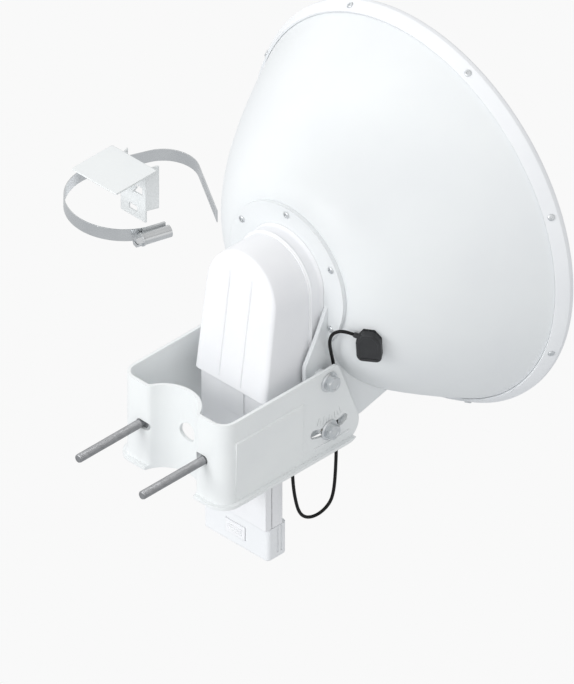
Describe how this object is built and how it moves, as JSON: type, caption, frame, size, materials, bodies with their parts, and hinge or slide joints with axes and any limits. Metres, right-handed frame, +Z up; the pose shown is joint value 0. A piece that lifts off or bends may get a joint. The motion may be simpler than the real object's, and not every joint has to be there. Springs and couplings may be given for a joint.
{
  "type": "outdoor wireless bridge",
  "caption": "Deep dish antenna with a hooded radio in a U bracket for a round mast, a wired position receiver, and a separate strap mount with a flat tray.",
  "frame": {"origin": "on the mast's axis at the middle of the bracket's height", "axes": "+Y the way the dish points at zero tilt, +X to the right seen from behind, +Z up the mast"},
  "size_m": [0.3788, 0.4217, 0.467],
  "materials": {
    "white_powder_coat": "white powder coat on folded steel sheet",
    "white_aluminium": "white powder coat on aluminium",
    "white_shell": "fine matt moulded shell",
    "white_cover": "fine matt moulded cover",
    "zinc_steel": "bright zinc plate",
    "rod_steel": "rolled thread, zinc plate",
    "strap_steel": "cold rolled stainless strip",
    "black_rubber": "soft sealing rubber",
    "black_cable": "extruded cable jacket",
    "black_shell": "fine grained black shell",
    "circuit_board": "solder mask",
    "shield_tin": "tin plate",
    "bare_aluminium": "milled",
    "brass_plate": "gold flash on brass",
    "feed_plastic": "natural low-loss polymer",
    "ceramic_patch": "fired ceramic"
  },
  "bodies": {
    "bracket": {"mast_bracket": "white_powder_coat", "clamp_bolts": "rod_steel"},
    "antenna": {"reflector": "white_aluminium", "radome": "white_cover", "radome_gasket": "black_rubber", "rim_screws": "zinc_steel", "dish_hub": "white_aluminium", "hub_screws": "zinc_steel", "threaded_inserts": "brass_plate", "arch_housing": "white_shell", "hood": "white_shell", "radio_front_shell": "white_shell", "radio_rear_shell": "white_shell", "radio_gasket": "black_rubber", "radio_board": "circuit_board", "rf_shield": "shield_tin", "heat_spreader": "bare_aluminium", "network_jacks": "shield_tin", "feed_base": "white_shell", "feed_tube": "bare_aluminium", "feed_cone": "feed_plastic", "subreflector": "bare_aluminium", "port_seal": "black_rubber", "gps_base": "black_rubber", "gps_housing": "black_shell", "gps_patch": "ceramic_patch", "gps_jack": "brass_plate", "gps_plug": "brass_plate", "gps_cable": "black_cable"},
    "bolt_right_top": {"flange_bolt_right_top": "zinc_steel"},
    "bolt_right_low": {"flange_bolt_right_low": "zinc_steel"},
    "bolt_left_top": {"flange_bolt_left_top": "zinc_steel"},
    "bolt_left_low": {"flange_bolt_left_low": "zinc_steel"},
    "port_cover": {"port_cover": "white_cover"},
    "cover_latch": {"port_cover_latch": "white_shell"},
    "reset": {"reset_button": "black_shell"},
    "strap_mount": {"gps_mount_plate": "white_powder_coat", "strap_band": "strap_steel", "strap_housing": "strap_steel"},
    "strap_screw": {"strap_screw": "strap_steel"}
  },
  "joints": [
    {"name": "elevation", "type": "hinge", "parent": "bracket", "child": "antenna", "pos_m": [0, 0.138, 0.03], "axis": [1, 0, 0], "range_deg": [-20, 20]},
    {"name": "right_top_bolt_out", "type": "slide", "parent": "antenna", "child": "bolt_right_top", "axis": [1, 0, 0], "range_m": [0, 0.075]},
    {"name": "right_low_bolt_out", "type": "slide", "parent": "antenna", "child": "bolt_right_low", "axis": [1, 0, 0], "range_m": [0, 0.075]},
    {"name": "left_top_bolt_out", "type": "slide", "parent": "antenna", "child": "bolt_left_top", "axis": [-1, 0, 0], "range_m": [0, 0.075]},
    {"name": "left_low_bolt_out", "type": "slide", "parent": "antenna", "child": "bolt_left_low", "axis": [-1, 0, 0], "range_m": [0, 0.075]},
    {"name": "port_cover_slide", "type": "slide", "parent": "antenna", "child": "port_cover", "axis": [0, 0, -1], "range_m": [0, 0.045]},
    {"name": "cover_latch_press", "type": "slide", "parent": "port_cover", "child": "cover_latch", "axis": [0, 1, 0], "range_m": [0, 0.0012], "stiffness_N_per_m": 400},
    {"name": "reset_press", "type": "slide", "parent": "antenna", "child": "reset", "axis": [0, 0, 1], "range_m": [0, 0.0008], "stiffness_N_per_m": 600},
    {"name": "strap_mount_height", "type": "slide", "parent": "bracket", "child": "strap_mount", "axis": [0, 0, 1], "range_m": [-0.2, 0.1]},
    {"name": "strap_screw_turn", "type": "hinge", "parent": "strap_mount", "child": "strap_screw", "pos_m": [0.0578, -0.06606, 0.2835], "axis": [-0.2924, -0.9563, 0], "continuous": true}
  ]
}
